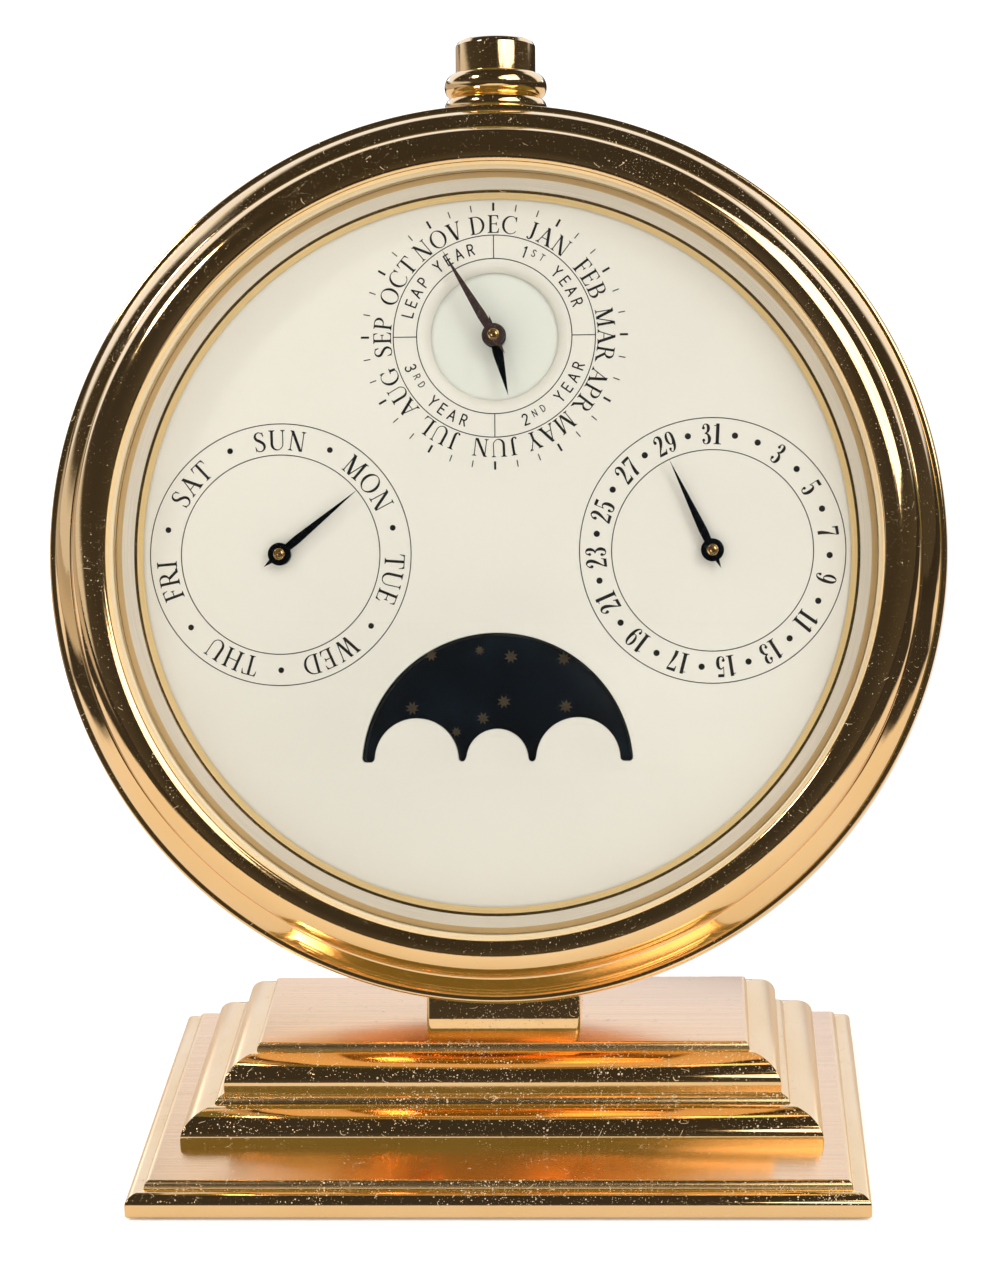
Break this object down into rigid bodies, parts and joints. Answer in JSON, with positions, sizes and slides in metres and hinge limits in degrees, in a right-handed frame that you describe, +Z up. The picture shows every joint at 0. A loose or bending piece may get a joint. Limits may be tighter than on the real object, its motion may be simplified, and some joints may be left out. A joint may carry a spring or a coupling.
{
  "type": "perpetual desk calendar",
  "caption": "Round gold-toned calendar case on a stepped rectangular base, with weekday, date, month and leap-year hands, a moon window and a push button on top.",
  "frame": {"origin": "middle of the underside of the base, on the felt", "axes": "+X to the viewer's right, -Y out of the front towards the viewer, +Z up; the case leans back 17.8 degrees towards +Y"},
  "size_m": [0.1244, 0.075, 0.1499],
  "materials": {
    "polished_gold": "mirror-polished rose-gold plated brass",
    "brushed_gold": "satin-brushed rose-gold plated brass",
    "movement_brass": "plain lacquered brass",
    "nickel_plate": "fine matte nickel",
    "steel": "fine-ground steel",
    "hand_steel": "blue-black hardened steel, polished",
    "dial_ivory": "eggshell ivory lacquer",
    "pale_disc": "eggshell pale green-white lacquer",
    "night_disc": "glossy blue-black lacquer with small gold stars",
    "crystal": "clear polished flat crystal",
    "felt": "dark felt"
  },
  "bodies": {
    "case": {"base_slab": "brushed_gold", "lower_step": "polished_gold", "upper_step": "polished_gold", "pedestal_post": "polished_gold", "felt_pad": "felt", "base_screw_left": "steel", "base_screw_right": "steel", "post_screw_left": "steel", "post_screw_right": "steel", "case_drum": "polished_gold", "front_bezel": "polished_gold", "crystal": "crystal", "inner_ring": "polished_gold", "dial_plate": "dial_ivory", "month_center_disc": "pale_disc", "rear_bezel": "polished_gold", "back_cover": "brushed_gold", "pusher_collar": "polished_gold", "pusher_bushing": "movement_brass", "return_spring": "steel", "main_plate": "movement_brass", "bridge_plate": "nickel_plate", "plate_pillar_left": "movement_brass", "plate_pillar_right": "movement_brass", "plate_pillar_bottom": "movement_brass", "lever_pivot": "steel", "date_jumper": "steel", "day_jumper": "steel", "moon_jumper": "steel", "month_jumper": "steel", "back_cover_screw_upper_right": "steel", "back_cover_screw_upper_left": "steel", "back_cover_screw_lower_left": "steel", "back_cover_screw_lower_right": "steel"},
    "pusher": {"pusher_cap": "polished_gold", "pusher_stem": "steel"},
    "lever": {"grand_lever": "nickel_plate", "day_pawl": "steel", "date_pawl": "steel", "moon_pawl": "steel"},
    "day_hand_group": {"day_hand": "hand_steel", "day_arbor": "movement_brass", "day_star_wheel": "movement_brass"},
    "date_hand_group": {"date_hand": "hand_steel", "date_arbor": "movement_brass", "date_star_wheel": "movement_brass"},
    "moon_group": {"moon_disc": "night_disc", "moon_arbor": "movement_brass", "moon_star_wheel": "movement_brass"},
    "month_hand_group": {"month_hand": "hand_steel", "month_arbor": "steel", "month_star_wheel": "movement_brass"},
    "leap_year_group": {"year_hand": "hand_steel", "year_pipe": "movement_brass", "year_wheel": "movement_brass", "program_wheel": "movement_brass"},
    "transfer_group": {"transfer_pinion": "steel", "transfer_wheel": "movement_brass"}
  },
  "joints": [
    {"name": "pusher_press", "type": "slide", "parent": "case", "child": "pusher", "axis": [0, -0.3062, -0.952], "range_m": [0, 0.0035], "stiffness_N_per_m": 300, "springref_m": -0.002, "deforming": ["return_spring"]},
    {"name": "lever_swing", "type": "hinge", "parent": "case", "child": "lever", "pos_m": [0.022, 0.0297, 0.11668], "axis": [0, 0.952, -0.3062], "range_deg": [-9.05, 0]},
    {"name": "day_turn", "type": "hinge", "parent": "case", "child": "day_hand_group", "pos_m": [-0.0297, 0.01422, 0.07964], "axis": [0, 0.952, -0.3062], "continuous": true},
    {"name": "date_turn", "type": "hinge", "parent": "case", "child": "date_hand_group", "pos_m": [0.0297, 0.01422, 0.07964], "axis": [0, 0.952, -0.3062], "continuous": true},
    {"name": "moon_turn", "type": "hinge", "parent": "case", "child": "moon_group", "pos_m": [0, 0.00513, 0.05137], "axis": [0, 0.952, -0.3062], "continuous": true},
    {"name": "month_turn", "type": "hinge", "parent": "case", "child": "month_hand_group", "pos_m": [0, 0.02334, 0.10801], "axis": [0, 0.952, -0.3062], "continuous": true},
    {"name": "leap_year_turn", "type": "hinge", "parent": "case", "child": "leap_year_group", "pos_m": [0, 0.02334, 0.10801], "axis": [0, 0.952, -0.3062], "continuous": true},
    {"name": "transfer_turn", "type": "hinge", "parent": "case", "child": "transfer_group", "pos_m": [-0.00909, 0.02495, 0.113], "axis": [0, 0.952, -0.3062], "continuous": true}
  ],
  "couplings": [
    {"joint": "lever_swing", "follows": "pusher_press", "rad_per_m": -44.88},
    {"joint": "date_turn", "follows": "day_turn", "ratio": 0.22581},
    {"joint": "moon_turn", "follows": "day_turn", "ratio": 0.11864},
    {"joint": "leap_year_turn", "follows": "month_turn", "ratio": 0.25},
    {"joint": "transfer_turn", "follows": "month_turn", "ratio": -0.5}
  ]
}
